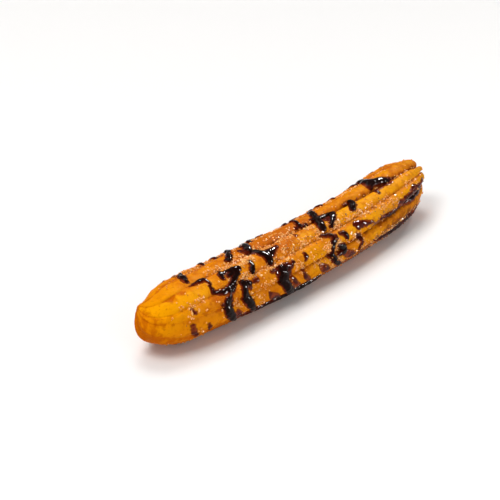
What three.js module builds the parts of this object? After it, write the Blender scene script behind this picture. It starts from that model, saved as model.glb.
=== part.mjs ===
// A churro: one ridged stick of fried dough, piped through a star nozzle and lying on its side.
//
// The stick runs along X, with its near end at -X. Seen from above it bows towards -Y. Its skin is a
// grid: one direction follows the stick from end to end, the other runs round it from crease to crease,
// so that every crease between two ridges is a row of vertices. All lengths are in millimetres and all
// angles in degrees. An angle round the stick is 0 at -Y and 90 at +Z.
import * as THREE from "three";

// Driving dimensions. A triple holds a value at the near end, in the middle and at the far end.
const LENGTH = 212.2;
const CREST_RADIUS = [15.5, 15.9, 13.9];
const BOW = 6.7;
const SWAY = 5.3;
const TIP_LIFT = { near: 2.6, far: 0.7 };
const FLAT_DEPTH = 0.7;
const NEAR_CAP = { length: 31, bluntness: 0.67 };
const FAR_CAP = { length: 27, bluntness: 0.62 };
const TIP_PINCH = 3.9;
const NEAR_TIP_SHIFT = { back: 9, up: 6.3 };
const NEAR_TIP_SLANT = { reach: 6.2, angle: -43 };

// One entry for each crease, in order round the stick: where it runs, how deep it is cut, and how far
// the ridge that follows it stands proud of the crest radius or reaches past the tips.
const CREASES = [
  { turn: [62, 82, 61], depth: [0.6, 2.3, 1.5], swell: [0, 0.1, 0.4], reach: [0, 2.2] },
  { turn: [27, 44, 39], depth: [0.4, 1.2, 0.6], swell: [0.2, 0.3, -0.2], reach: [0.5, 0.8] },
  { turn: [10, 5, 14], depth: [0.4, 1.6, 3.6], swell: [0, 0.6, -0.4], reach: [0, -3] },
  { turn: [-28, -38, -26], depth: [0.4, 1.9, 2.6], swell: [0, 0, 1.4], reach: [-1.0, -1.5] },
  { turn: [-72, -79, -71], depth: [0.8, 1.8, 2.2], swell: [0, 0, 0.5], reach: [0.5, 0.5] },
  { turn: [-118, -118, -115], depth: [0.8, 2.0, 2.3], swell: [0.2, 0, 0.2], reach: [0, -1.5] },
  { turn: [-164, -158, -160], depth: [0.9, 2.2, 2.4], swell: [0, 0.3, 0], reach: [1.0, 0] },
  { turn: [-210, -199, -206], depth: [0.8, 2.0, 2.5], swell: [0.1, 0, 0.3], reach: [-0.5, 1.0] },
  { turn: [-256, -239, -252], depth: [0.9, 2.4, 2.4], swell: [0, 0.2, 1.1], reach: [0.5, 2.4] },
];
const RIDGE_ROUNDNESS = 2.6;

// Fineness of the grid.
const STEPS_PER_RIDGE = 8;
const CAP_STEPS = 10;
const BODY_STEPS = 44;

const radians = THREE.MathUtils.degToRad;

// A smooth curve through a near, middle and far value; t runs from -1 at the near tip to 1 at the far tip.
function along(t, [near, middle, far]) {
  return middle + ((far - near) / 2) * t + ((near + far) / 2 - middle) * t * t;
}

// Rings from tip to tip: x is the place along the stick, and fullness goes from 0 at a tip to 1 on the body.
// An end cap is a dome: the inset is 1 less the cosine of an angle that turns through 90 degrees, and the
// fullness is a power of its sine. The lower the power, the blunter the end.
function ringStations() {
  const capRing = (step, cap) => {
    const angle = (Math.PI / 2) * (step / CAP_STEPS);
    return { inset: cap.length * (1 - Math.cos(angle)), fullness: Math.sin(angle) ** cap.bluntness };
  };
  const stations = [];
  for (let i = 0; i < CAP_STEPS; i++) {
    const { inset, fullness } = capRing(i, NEAR_CAP);
    stations.push({ x: -LENGTH / 2 + inset, fullness });
  }
  const bodyStart = -LENGTH / 2 + NEAR_CAP.length;
  const bodyLength = LENGTH - NEAR_CAP.length - FAR_CAP.length;
  for (let i = 0; i <= BODY_STEPS; i++) {
    stations.push({ x: bodyStart + (bodyLength * i) / BODY_STEPS, fullness: 1 });
  }
  for (let i = CAP_STEPS - 1; i >= 0; i--) {
    const { inset, fullness } = capRing(i, FAR_CAP);
    stations.push({ x: LENGTH / 2 - inset, fullness });
  }
  return stations;
}

// The angle, cut depth, swell and reach at a place round the stick. turnCount counts ridges: its whole
// part picks the ridge, and its fraction goes from the crease before that ridge to the crease after it.
function ridgeAt(turnCount, t) {
  const index = Math.floor(turnCount) % CREASES.length;
  const share = turnCount - Math.floor(turnCount);
  const before = CREASES[index];
  const after = CREASES[(index + 1) % CREASES.length];
  const startAngle = along(t, before.turn);
  const endAngle = along(t, after.turn) - (index + 1 === CREASES.length ? 360 : 0);
  const offCrest = Math.abs(2 * share - 1) ** RIDGE_ROUNDNESS;
  const depth = along(t, share < 0.5 ? before.depth : after.depth);
  const crest = 1 - offCrest;
  return {
    angle: startAngle + (endAngle - startAngle) * share,
    cut: depth * offCrest,
    swell: along(t, before.swell) * crest,
    reach: before.reach[t < 0 ? 0 : 1] * crest,
  };
}

// One point of the skin.
function skinPoint({ x, fullness }, turnCount) {
  const t = (2 * x) / LENGTH;
  const { angle, cut, swell, reach } = ridgeAt(turnCount, t);
  const radius = fullness * (along(t, CREST_RADIUS) - cut + swell);

  // Towards a tip the ridge reaches out, and the middle of the end is pinched in.
  const outward = Math.sign(t);
  const endShare = 1 - fullness;
  const pinch = TIP_PINCH * (1 - fullness) ** 2;
  const reachShare = 4 * fullness * endShare;
  const tipShift = t < 0 ? endShare ** 1.5 : 0;
  const slant = t < 0 ? NEAR_TIP_SLANT.reach * Math.cos(radians(angle - NEAR_TIP_SLANT.angle)) : 0;

  // The centre line bows towards -Y, sways from end to end, and lifts a little at the tips. At the near
  // end the ridges meet behind and above it, where the piped dough was cut off.
  const centreY = -BOW * (1 - t * t) + SWAY * t ** 3 + NEAR_TIP_SHIFT.back * tipShift;
  const lift = t < 0 ? TIP_LIFT.near : TIP_LIFT.far;
  const centreZ = along(0, CREST_RADIUS) + lift * t * t + NEAR_TIP_SHIFT.up * tipShift;
  const slope = ((4 * BOW) / LENGTH) * t + ((6 * SWAY) / LENGTH) * t * t;
  const heading = Math.atan(slope);

  const sideways = -radius * Math.cos(radians(angle));
  return new THREE.Vector3(
    x + outward * ((reach + slant) * reachShare - pinch) - sideways * Math.sin(heading),
    centreY + sideways * Math.cos(heading),
    Math.max(centreZ + radius * Math.sin(radians(angle)), FLAT_DEPTH),
  );
}

// The closed skin: a grid of rings, with one vertex at each tip.
function churroGeometry() {
  const stations = ringStations();
  const columns = CREASES.length * STEPS_PER_RIDGE;
  const rings = stations.slice(1, -1);
  const positions = [];
  for (const station of rings) {
    for (let column = 0; column < columns; column++) {
      positions.push(...skinPoint(station, column / STEPS_PER_RIDGE).toArray());
    }
  }
  const nearTip = rings.length * columns;
  const farTip = nearTip + 1;
  positions.push(...skinPoint(stations[0], 0).toArray());
  positions.push(...skinPoint(stations[stations.length - 1], 0).toArray());

  const triangles = [];
  for (let column = 0; column < columns; column++) {
    const next = (column + 1) % columns;
    triangles.push(nearTip, next, column);
    for (let ring = 0; ring < rings.length - 1; ring++) {
      const here = ring * columns;
      const ahead = here + columns;
      triangles.push(here + column, ahead + next, ahead + column);
      triangles.push(here + column, here + next, ahead + next);
    }
    const last = (rings.length - 1) * columns;
    triangles.push(last + column, last + next, farTip);
  }

  const geometry = new THREE.BufferGeometry();
  geometry.setAttribute("position", new THREE.Float32BufferAttribute(positions, 3));
  geometry.setIndex(triangles);
  return geometry;
}

// Puts the middle of the box's underside at the origin.
function standOnOrigin(geometry) {
  geometry.computeBoundingBox();
  const { min, max } = geometry.boundingBox;
  geometry.translate(-(min.x + max.x) / 2, -(min.y + max.y) / 2, -min.z);
  geometry.computeVertexNormals();
  return geometry;
}

const friedDough = new THREE.MeshStandardMaterial({ color: 0xd98c1c, roughness: 0.5, metalness: 0 });

const churro = new THREE.Mesh(standOnOrigin(churroGeometry()), friedDough);
churro.name = "churro";

const part = new THREE.Group();
part.add(churro);

export default part;
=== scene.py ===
"""A churro with chocolate sauce, sugar and cinnamon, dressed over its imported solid.

Every piece is laid on one skin, DoughSkin: a stick whose round is divided into ridges by creases. A place
on the skin is a pair of numbers. The station goes from 0 at the near tip through 1 and 2, where the end
caps meet the body, to 3 at the far tip. The turn counts the ridges round the stick. Sauce and sugar are
put down by place, in millimetres along the stick from its near tip, and angle, in degrees round it: 0 on
the -Y side and 90 on top. Lengths are in millimetres until a mesh is written, which turns them to metres.
"""

import logging
import math
from collections.abc import Callable, Sequence
from dataclasses import dataclass, field, replace
from enum import Enum

import bpy
import numpy as np
from mathutils import Matrix, Vector


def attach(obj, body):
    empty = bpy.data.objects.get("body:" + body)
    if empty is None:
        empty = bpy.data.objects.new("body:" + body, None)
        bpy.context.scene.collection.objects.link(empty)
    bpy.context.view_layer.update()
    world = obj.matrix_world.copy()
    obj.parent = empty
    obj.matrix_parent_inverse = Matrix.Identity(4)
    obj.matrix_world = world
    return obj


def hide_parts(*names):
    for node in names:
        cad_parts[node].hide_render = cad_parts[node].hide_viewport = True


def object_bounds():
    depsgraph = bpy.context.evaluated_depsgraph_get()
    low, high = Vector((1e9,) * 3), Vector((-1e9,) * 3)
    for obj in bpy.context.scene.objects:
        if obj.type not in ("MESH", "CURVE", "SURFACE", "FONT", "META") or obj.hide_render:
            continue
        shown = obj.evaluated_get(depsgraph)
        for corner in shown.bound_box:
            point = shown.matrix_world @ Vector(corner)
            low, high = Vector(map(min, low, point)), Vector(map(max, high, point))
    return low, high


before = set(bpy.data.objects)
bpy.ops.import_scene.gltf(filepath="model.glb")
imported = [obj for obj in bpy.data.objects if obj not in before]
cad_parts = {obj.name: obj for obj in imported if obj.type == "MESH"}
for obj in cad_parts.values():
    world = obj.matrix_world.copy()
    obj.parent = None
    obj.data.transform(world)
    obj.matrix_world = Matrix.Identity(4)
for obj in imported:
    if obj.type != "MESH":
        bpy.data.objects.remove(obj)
CAD_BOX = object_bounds()

log = logging.getLogger("churro")

Array = np.ndarray
Triple = tuple[float, float, float]
Place = tuple[float, float]
Colour = tuple[float, float, float]
Shape = tuple[Array, list[Array]]
Node = bpy.types.Node
Socket = bpy.types.NodeSocket
Piece = bpy.types.Object

MM = 0.001
ARC_MM_PER_DEGREE = math.radians(15.5)
BLISTER_REACH = 3
GRAIN_CELLS = 24


class Slot(Enum):
    """Names of the material slots."""

    DOUGH = "fried_dough"
    SAUCE = "chocolate_sauce"
    SUGAR = "cinnamon_sugar"


# ---- Noise and other small formulas ----


@dataclass(frozen=True)
class Lumps:
    """Smooth seeded noise in space.

    Random values from -1 to 1 sit on a lattice of cells, and a quintic ease blends them across each cell.
    Each further octave has half the cell size and half the height.
    """

    size: float
    seed: int
    octaves: int = 1
    stretch: Triple = (1.0, 1.0, 1.0)

    def at(self, points: Array) -> Array:
        """The noise at some points.

        Args:
            points: Places in millimetres, shape (..., 3).

        Returns:
            Values of about -1 to 1, shape (...).
        """
        cell = self.size * np.array(self.stretch)
        total = np.zeros(points.shape[:-1])
        height = 1.0
        for octave in range(self.octaves):
            total += height * self._layer(points * (2.0**octave) / cell, self.seed + 17 * octave)
            height *= 0.5
        return total / (2.0 - 2.0 * height)

    def _layer(self, position: Array, seed: int) -> Array:
        """One octave: the eight corner values of a cell, weighted by the eased distance to each."""
        low = np.floor(position).astype(np.int64)
        share = position - low
        ease = share**3 * (share * (share * 6.0 - 15.0) + 10.0)
        total = np.zeros(position.shape[:-1])
        for corner in range(8):
            step = np.array([corner & 1, (corner >> 1) & 1, (corner >> 2) & 1])
            weight = np.prod(np.where(step == 1, ease, 1.0 - ease), axis=-1)
            total += weight * self._corner(low + step, seed)
        return total

    @staticmethod
    def _corner(corner: Array, seed: int) -> Array:
        """A fixed random value from -1 to 1 for each whole-number corner, by mixing its bits."""
        mixed = (corner * np.array([73856093, 19349663, 83492791])).sum(axis=-1) + seed * 2654435761
        for shift, factor in ((15, 2246822519), (13, 3266489917), (16, 668265263)):
            mixed = ((mixed & 0xFFFFFFFF) ^ ((mixed & 0xFFFFFFFF) >> shift)) * factor
        return (mixed & 0xFFFFFF) / 8388607.5 - 1.0


def along(share: Array, values: Triple) -> Array:
    """A smooth curve through a near, middle and far value, where share runs from -1 to 1."""
    near, middle, far = values
    return middle + (far - near) / 2 * share + ((near + far) / 2 - middle) * share**2


def ramp(values: Array, low: float, high: float) -> Array:
    """0 below low and 1 above high, with an eased step between them."""
    share = np.clip((values - low) / (high - low), 0.0, 1.0)
    return share * share * (3.0 - 2.0 * share)


def bump_at(values: Array, centre: float, spread: float) -> Array:
    """A bell curve of height 1 round the centre."""
    return np.exp(-(((values - centre) / spread) ** 2))


def bell_round(angle: Array, centre: float, spread: float) -> Array:
    """A bell curve of height 1 round an angle, the short way round the stick."""
    return bump_at(turned_by(angle, centre), 0, spread)


def unit(vectors: Array) -> Array:
    """The vectors at length 1."""
    return vectors / np.maximum(np.linalg.norm(vectors, axis=-1, keepdims=True), 1e-12)


def turned_by(angle: Array, other: float | Array) -> Array:
    """The angle less the other, brought between -180 and 180 degrees."""
    return (angle - other + 180.0) % 360.0 - 180.0


# ---- The skin ----


@dataclass(frozen=True)
class Crease:
    """A crease and the ridge that follows it: near, middle and far values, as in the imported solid."""

    turn: Triple
    depth: Triple
    swell: Triple
    reach: Place


@dataclass(frozen=True)
class Blister:
    """A small raised or sunken spot of the skin."""

    place: float
    angle: float
    radius: float
    height: float


@dataclass
class Patch:
    """Some places of the skin: their points, angle round, place along, cut below the crest and fold.

    The fold is the distance to the nearest crease in millimetres.
    """

    point: Array
    angle: Array
    place: Array
    cut: Array
    fold: Array


@dataclass(frozen=True)
class DoughSkin:
    """The churro's outer form, as a function of station and turn."""

    length: float = 212.2
    crest_radius: Triple = (15.5, 15.9, 13.9)
    bow: float = 6.7
    sway: float = 5.3
    tip_lift: Place = (2.6, 0.7)
    flat_depth: float = 0.7
    near_cap: Place = (31.0, 0.67)
    far_cap: Place = (27.0, 0.62)
    tip_pinch: float = 3.9
    near_shift: Place = (9.0, 6.3)
    near_slant: Place = (6.2, -43.0)
    ridge_roundness: float = 2.6
    creases: tuple[Crease, ...] = (
        Crease((62, 82, 61), (0.6, 2.3, 1.5), (0, 0.1, 0.4), (0, 2.2)),
        Crease((27, 44, 39), (0.4, 1.2, 0.6), (0.2, 0.3, -0.2), (0.5, 0.8)),
        Crease((10, 5, 14), (0.4, 1.6, 3.6), (0, 0.6, -0.4), (0, -3)),
        Crease((-28, -38, -26), (0.4, 1.9, 2.6), (0, 0, 1.4), (-1.0, -1.5)),
        Crease((-72, -79, -71), (0.8, 1.8, 2.2), (0, 0, 0.5), (0.5, 0.5)),
        Crease((-118, -118, -115), (0.8, 2.0, 2.3), (0.2, 0, 0.2), (0, -1.5)),
        Crease((-164, -158, -160), (0.9, 2.2, 2.4), (0, 0.3, 0), (1.0, 0)),
        Crease((-210, -199, -206), (0.8, 2.0, 2.5), (0.1, 0, 0.3), (-0.5, 1.0)),
        Crease((-256, -239, -252), (0.9, 2.4, 2.4), (0, 0.2, 1.1), (0.5, 2.4)),
    )
    blisters: tuple[Blister, ...] = (
        Blister(12.5, 61, 1.4, -1.1),
        Blister(10.0, 65, 1.0, -0.6),
        Blister(19.5, 63, 0.8, -0.6),
    )
    blister_count: int = 420
    seed: int = 7
    shift: Triple = (0.0, 0.0, 0.0)

    @property
    def ridges(self) -> int:
        """How many ridges the stick has."""
        return len(self.creases)

    def ring(self, station: Array) -> tuple[Array, Array]:
        """Place from the middle and fullness at a station.

        A cap is a dome: its inset is 1 less the cosine of an angle that turns through 90 degrees, and its
        fullness a power of the sine, lower for a blunter end. The body between the caps has fullness 1.

        Args:
            station: 0 to 3.

        Returns:
            The place in millimetres from the middle of the stick, and the fullness from 0 to 1.
        """
        near = math.pi / 2 * np.clip(station, 0.0, 1.0)
        far = math.pi / 2 * np.clip(3.0 - station, 0.0, 1.0)
        (near_length, near_bluntness), (far_length, far_bluntness) = self.near_cap, self.far_cap
        body = (self.length - near_length - far_length) * np.clip(station - 1.0, 0.0, 1.0)
        place = near_length * (1 - np.cos(near)) + body + far_length * np.cos(far)
        return place - self.length / 2, np.sin(near) ** near_bluntness * np.sin(far) ** far_bluntness

    def _values(self, name: str, index: Array, share: Array) -> Array:
        """A crease field at some creases, each on its smooth curve from end to end."""
        table = np.array([getattr(crease, name) for crease in self.creases], float)[index]
        return along(share, (table[..., 0], table[..., 1], table[..., 2]))

    def smooth(self, station: Array, turn: Array) -> Patch:
        """The form before its fine relief.

        Between two creases the surface is a ridge whose cut below the crest radius grows as a power of
        the distance from the ridge's middle. The centre line is a parabola in plan with a cubic sway.

        Args:
            station: 0 to 3 along the stick.
            turn: Ridges counted round it.

        Returns:
            The places, in the row frame.
        """
        x, fullness = self.ring(station)
        t = 2 * x / self.length
        turn = np.mod(turn, self.ridges)
        index = np.floor(turn).astype(int) % self.ridges
        following = (index + 1) % self.ridges
        share = turn - np.floor(turn)
        start = self._values("turn", index, t)
        end = self._values("turn", following, t) - np.where(following == 0, 360.0, 0.0)
        angle = start + (end - start) * share
        off_crest = np.abs(2 * share - 1) ** self.ridge_roundness
        depth = np.where(share < 0.5, self._values("depth", index, t), self._values("depth", following, t))
        swell = self._values("swell", index, t) * (1 - off_crest)
        reach_table = np.array([crease.reach for crease in self.creases], float)[index]
        reach = np.where(t < 0, reach_table[..., 0], reach_table[..., 1]) * (1 - off_crest)
        cut = depth * off_crest
        radius = fullness * (along(t, self.crest_radius) - cut + swell)

        near = np.where(t < 0, 1.0, 0.0)
        tip = near * (1 - fullness) ** 1.5
        slant = near * self.near_slant[0] * np.cos(np.radians(angle - self.near_slant[1]))
        outward = (reach + slant) * 4 * fullness * (1 - fullness) - self.tip_pinch * (1 - fullness) ** 2
        centre_y = -self.bow * (1 - t * t) + self.sway * t**3 + self.near_shift[0] * tip
        tip_lift = np.where(t < 0, self.tip_lift[0], self.tip_lift[1])
        centre_z = self.crest_radius[1] + tip_lift * t * t + self.near_shift[1] * tip
        heading = np.arctan((4 * self.bow * t + 6 * self.sway * t * t) / self.length)
        sideways = -radius * np.cos(np.radians(angle))
        point = np.stack(
            [
                x + np.sign(t) * outward - sideways * np.sin(heading),
                centre_y + sideways * np.cos(heading),
                np.maximum(centre_z + radius * np.sin(np.radians(angle)), self.flat_depth),
            ],
            axis=-1,
        )
        fold = np.abs(turn - np.round(turn)) * np.abs(end - start) * ARC_MM_PER_DEGREE
        return Patch(point + np.array(self.shift), angle, x + self.length / 2, cut, fold)

    def on_packed_box(self) -> "DoughSkin":
        """The same skin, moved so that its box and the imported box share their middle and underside."""
        station = np.linspace(0.0, 3.0, 241)
        turn = np.arange(0.0, self.ridges, 1 / 16)
        points = self.smooth(*np.meshgrid(station, turn, indexing="ij")).point.reshape(-1, 3)
        low, high = points.min(axis=0), points.max(axis=0)
        cad_low, cad_high = (np.array(corner) / MM for corner in CAD_BOX)
        shift = (cad_low + cad_high - low - high) / 2
        shift[2] = cad_low[2] - low[2]
        return replace(self, shift=tuple(shift))

    def outward(self, station: Array, turn: Array) -> Array:
        """Unit normals of the smooth form, from its steps along and round the stick."""
        step, sweep = 0.004, 0.02
        ahead = self.smooth(np.clip(station + step, 0.01, 2.99), turn).point
        behind = self.smooth(np.clip(station - step, 0.01, 2.99), turn).point
        left = self.smooth(station, turn + sweep).point
        right = self.smooth(station, turn - sweep).point
        return unit(np.cross(left - right, ahead - behind))

    def relief(self, patch: Patch) -> Array:
        """How far the fine skin stands off the smooth form, in millimetres.

        Broad lumps, fine grooves that run along the stick as the nozzle left them, small wrinkles that
        are strongest in the creases, and scattered blisters with a few pits.

        Args:
            patch: Places of the smooth form.

        Returns:
            Offsets along the normal.
        """
        point = patch.point
        creased = ramp(patch.cut, 0.3, 2.0)
        lift = 0.42 * Lumps(17.0, 11, 2).at(point)
        lift += 0.16 * Lumps(5.0, 12, 2).at(point)
        lift += 0.07 * Lumps(1.6, 13, 2, (9.0, 1.0, 1.0)).at(point)
        lift += (0.06 + 0.18 * creased) * Lumps(2.2, 14, 2, (0.7, 1.4, 1.4)).at(point)
        wander = 0.7 * Lumps(6.0, 15, 2).at(point)
        lift -= 0.28 * bump_at(patch.fold + wander, 0.0, 0.55) * (1.0 - 0.6 * ramp(-patch.place, -48, -30))
        return lift + self._blistering(patch)

    def _blistering(self, patch: Patch) -> Array:
        """The sum of many small domes, each a bell curve round its own place and angle."""
        rng = np.random.default_rng(self.seed)
        count = self.blister_count
        spots = list(self.blisters)
        for place, angle, radius, up in zip(
            rng.uniform(3, self.length - 3, count),
            rng.uniform(-180, 180, count),
            rng.uniform(0.5, 1.5, count),
            rng.uniform(0.0, 1.0, count),
        ):
            spots.append(Blister(place, angle, radius, radius * (0.22 if up > 0.25 else -0.3)))
        lift = np.zeros(patch.place.shape)
        order = np.argsort(patch.place.ravel())
        places = patch.place.ravel()[order]
        flat = lift.ravel()
        for spot in spots:
            reach = BLISTER_REACH * spot.radius
            first, last = np.searchsorted(places, [spot.place - reach, spot.place + reach])
            near = order[first:last]
            round_by = turned_by(patch.angle.ravel()[near], spot.angle) * ARC_MM_PER_DEGREE
            distance = np.hypot(patch.place.ravel()[near] - spot.place, round_by)
            flat[near] += spot.height * np.exp(-((distance / spot.radius) ** 2))
        return flat.reshape(patch.place.shape)

    def surface(self, station: Array, turn: Array, lift: Array | float = 0.0, relief: float = 1.0) -> Patch:
        """The fine skin, or a layer that lies on it.

        Args:
            station: 0 to 3 along the stick.
            turn: Ridges counted round it.
            lift: How far above the fine skin, in millimetres.
            relief: The share of the fine relief that the layer follows.

        Returns:
            The places, none of them below the surface that the churro rests on.
        """
        patch = self.smooth(station, turn)
        offset = relief * self.relief(patch) + lift
        point = patch.point + self.outward(station, turn) * np.asarray(offset)[..., None]
        point[..., 2] = np.maximum(point[..., 2], 0.0)
        return replace(patch, point=point)




# ---- Meshes ----


def write_mesh(name: str, points: Array, faces: Sequence[Array], values: dict[str, Array]) -> Piece:
    """Puts arrays into a new mesh object at the origin.

    Args:
        name: The piece's name.
        points: Vertices in millimetres, shape (n, 3).
        faces: Vertex numbers, one array for each kind of face, shape (m, corners).
        values: Named numbers, one for each vertex, kept as attributes for the finishes.

    Returns:
        The linked object, smooth shaded.
    """
    mesh = bpy.data.meshes.new(name)
    mesh.vertices.add(len(points))
    mesh.vertices.foreach_set("co", (points * MM).astype(np.float32).ravel())
    corners = np.concatenate([kind.ravel() for kind in faces]).astype(np.int32)
    sizes = np.concatenate([np.full(len(kind), kind.shape[1]) for kind in faces])
    starts = np.concatenate([[0], np.cumsum(sizes)[:-1]]).astype(np.int32)
    mesh.loops.add(len(corners))
    mesh.loops.foreach_set("vertex_index", corners)
    mesh.polygons.add(len(sizes))
    mesh.polygons.foreach_set("loop_start", starts)
    mesh.polygons.foreach_set("use_smooth", np.ones(len(sizes), bool))
    for key, value in values.items():
        mesh.attributes.new(key, "FLOAT", "POINT").data.foreach_set("value", value.astype(np.float32).ravel())
    mesh.update(calc_edges=True)
    piece = bpy.data.objects.new(name, mesh)
    bpy.context.scene.collection.objects.link(piece)
    return piece


def stations(near: int, body: int, far: int) -> Array:
    """Station numbers from tip to tip, with so many steps on each cap and on the body."""
    return np.concatenate(
        [np.arange(near) / near, 1 + np.arange(body) / body, 2 + np.arange(far + 1) / far]
    )


# ---- Runs of sauce ----


@dataclass(frozen=True)
class Run:
    """A run of sauce or a band of sugar: a path of (place, angle, half width) points.

    Height is how thick sauce is where the run is widest, and weight is how strongly a band of sugar counts.
    """

    path: tuple[Triple, ...]
    height: float = 1.0
    weight: float = 1.0

    def line(self) -> tuple[Array, Array]:
        """The run as a fine line, a Catmull-Rom curve through the path's points.

        Returns:
            Points as (place, arc) in millimetres, shape (n, 2), and half widths, shape (n,).
        """
        knots = np.array(self.path, float) * np.array([1.0, ARC_MM_PER_DEGREE, 1.0])
        padded = np.vstack([2 * knots[0] - knots[1], knots, 2 * knots[-1] - knots[-2]])
        t = np.linspace(0, 1, 7)[:-1, None]
        pieces = [
            0.5 * (2 * b + (c - a) * t + (2 * a - 5 * b + 4 * c - d) * t**2 + (3 * b - a - 3 * c + d) * t**3)
            for a, b, c, d in zip(padded, padded[1:], padded[2:], padded[3:])
        ]
        curve = np.vstack([*pieces, knots[-1:]])
        return curve[:, :2], np.maximum(curve[:, 2], 0.15)

    def edge_distance(self, place: Array, arc: Array) -> tuple[Array, Array]:
        """How far inside the run's edge each place is.

        Args:
            place: Millimetres along the stick.
            arc: Millimetres round it, already next to the run and not a whole turn away.

        Returns:
            The distance to the edge, more than 0 inside, and the half width there.
        """
        curve, widths = self.line()
        best = np.full(place.shape, -99.0)
        width = np.full(place.shape, widths[0])
        here = np.stack([place, arc], axis=-1)
        for a, b, wide_a, wide_b in zip(curve, curve[1:], widths, widths[1:]):
            step = b - a
            share = np.clip(((here - a) @ step) / max(float(step @ step), 1e-9), 0, 1)
            wide = wide_a + (wide_b - wide_a) * share
            inside = wide - np.linalg.norm(here - a - share[..., None] * step, axis=-1)
            width = np.where(inside > best, wide, width)
            best = np.maximum(best, inside)
        return best, width


@dataclass(frozen=True)
class Spread:
    """What a set of runs makes of some places: the thickness there and the distance inside the edge."""

    thickness: Array
    inside: Array


def spread(runs: Sequence[Run], place: Array, angle: Array, reach: float = 3.0, spill: float = 0.0) -> Spread:
    """Adds up runs over the skin.

    Across a run the thickness is a dome: 1 - (1 - share)^2.4 of the run's height, where share goes from 0
    at the edge to 1 in the middle, and beyond the edge it goes on down as a straight slope. Where a run is
    narrower it is also lower. Runs that meet flow together by a soft maximum.

    Args:
        runs: The runs.
        place: Millimetres along the stick, shape (n,).
        angle: Degrees round it, shape (n,).
        reach: How far beyond a run's edge it is still worked out.
        spill: How much wider than its path says each run is, on either side.

    Returns:
        The spread, at -reach where no run is near.
    """
    softness, dome = 0.12, 2.4
    thickness = np.full(place.shape, -reach)
    inside = np.full(place.shape, -reach)
    for run in runs:
        curve, widths = run.line()
        middle = curve.mean(axis=0)
        arc = middle[1] + turned_by(angle, middle[1] / ARC_MM_PER_DEGREE) * ARC_MM_PER_DEGREE
        margin = widths.max() + reach
        low, high = curve.min(axis=0) - margin, curve.max(axis=0) + margin
        near = (place > low[0]) & (place < high[0]) & (arc > low[1]) & (arc < high[1])
        if not near.any():
            continue
        edge, width = run.edge_distance(place[near], arc[near])
        edge, width = edge + spill, width + spill
        share = np.clip(edge / width, 0, 1)
        slope = np.minimum(edge, 0.0) * max(dome * run.height / widths.max(), 0.35)
        height = run.height * (width / widths.max()) * (1 - (1 - share) ** dome) + slope
        height = np.maximum(height, -reach)
        old = thickness[near]
        top = np.maximum(old, height)
        rounding = softness * np.log1p(np.exp(-np.abs(old - height) / softness))
        thickness[near] = top + rounding * ramp(height, -0.3, 0.4)
        inside[near] = np.maximum(inside[near], edge)
    return Spread(thickness, inside)


def wandering(patch: Patch, seed: int, size: float, amount: float) -> tuple[Array, Array]:
    """Place and angle pushed about by noise, so that edges drawn with them wander.

    Args:
        patch: The places.
        seed: Of the noise.
        size: Of its lumps, in millimetres.
        amount: The furthest push, in millimetres.

    Returns:
        The pushed places and angles.
    """
    place = patch.place + amount * Lumps(size, seed, 3).at(patch.point)
    angle = patch.angle + amount / ARC_MM_PER_DEGREE * Lumps(size, seed + 1, 3).at(patch.point)
    return place, angle


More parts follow.
